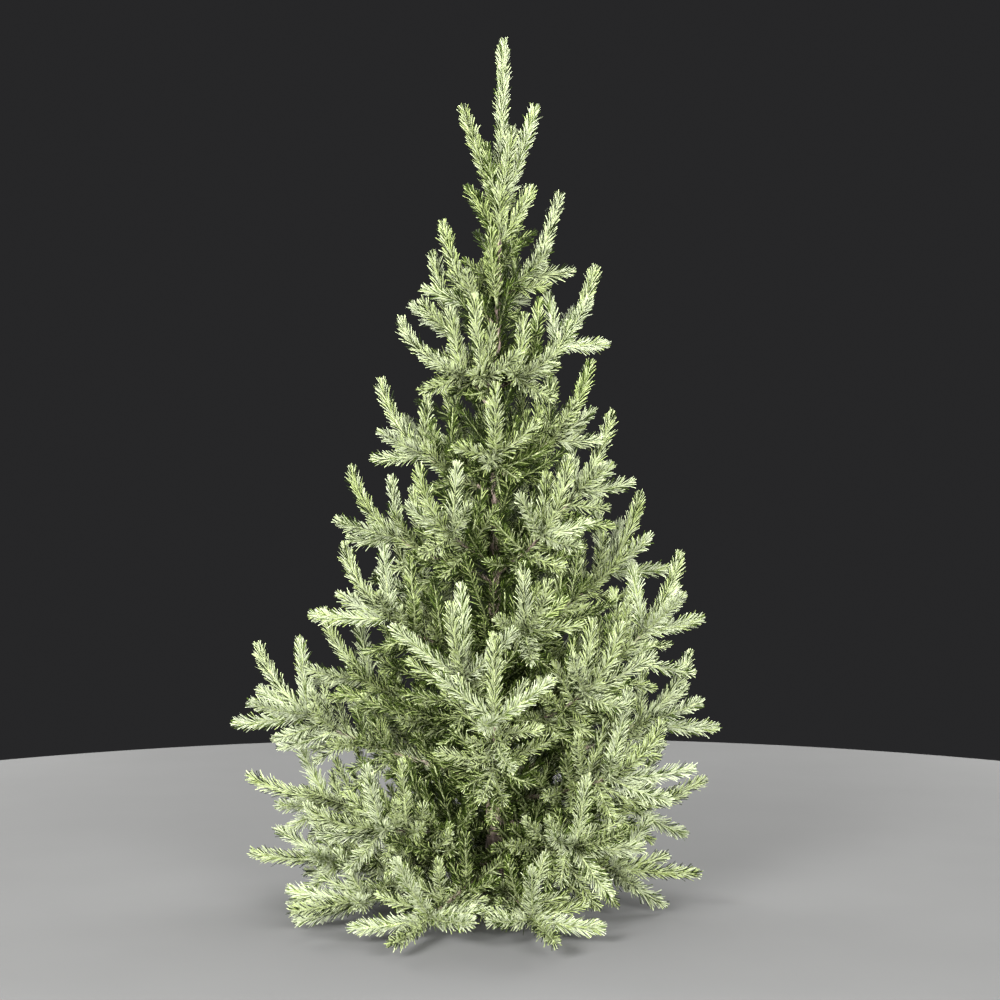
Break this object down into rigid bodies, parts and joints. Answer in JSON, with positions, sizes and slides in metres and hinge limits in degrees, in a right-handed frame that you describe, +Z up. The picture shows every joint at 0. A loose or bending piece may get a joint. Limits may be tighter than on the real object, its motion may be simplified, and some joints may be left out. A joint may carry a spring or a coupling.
{
  "type": "spruce tree",
  "caption": "Whole young spruce with a straight trunk, upswept boughs and a dense conical crown of short needles reaching down to the ground.",
  "frame": {"origin": "middle of the flat cut under the trunk at ground level, which is the mount ground", "axes": "+Z up along the trunk, -Y towards the side that the picture was taken from, +X to its right"},
  "size_m": [1.3397, 1.3015, 2.35],
  "materials": {
    "bark": "grey-brown bark with fine scales",
    "foliage": "fresh green needles, matt with a slight sheen"
  },
  "bodies": {
    "root": {"trunk": "bark", "foliage_leader": "foliage", "bough_8_1": "bark", "bough_8_2": "bark", "bough_8_3": "bark", "bough_8_4": "bark", "bough_8_5": "bark", "bough_8_6": "bark", "bough_9_1": "bark", "bough_9_2": "bark", "bough_9_3": "bark", "bough_9_4": "bark", "bough_9_5": "bark", "foliage_2_1": "foliage", "foliage_2_2": "foliage", "foliage_2_3": "foliage", "foliage_2_4": "foliage", "foliage_3_1": "foliage", "foliage_3_2": "foliage", "foliage_3_3": "foliage", "foliage_3_4": "foliage", "foliage_3_5": "foliage", "foliage_3_6": "foliage", "foliage_4_1": "foliage", "foliage_4_2": "foliage", "foliage_4_3": "foliage", "foliage_4_4": "foliage", "foliage_4_5": "foliage", "foliage_5_1": "foliage", "foliage_5_2": "foliage", "foliage_5_3": "foliage", "foliage_5_4": "foliage", "foliage_5_5": "foliage", "foliage_6_1": "foliage", "foliage_6_2": "foliage", "foliage_6_3": "foliage", "foliage_6_4": "foliage", "foliage_6_5": "foliage", "foliage_7_1": "foliage", "foliage_7_2": "foliage", "foliage_7_3": "foliage", "foliage_7_4": "foliage", "foliage_7_5": "foliage", "foliage_8_1": "foliage", "foliage_8_2": "foliage", "foliage_8_3": "foliage", "foliage_8_4": "foliage", "foliage_8_5": "foliage", "foliage_8_6": "foliage", "foliage_9_1": "foliage", "foliage_9_2": "foliage", "foliage_9_3": "foliage", "foliage_9_4": "foliage", "foliage_9_5": "foliage", "foliage_10_1": "foliage", "foliage_10_2": "foliage", "foliage_10_3": "foliage", "foliage_10_4": "foliage", "foliage_10_5": "foliage", "foliage_10_6": "foliage"}
  },
  "joints": []
}
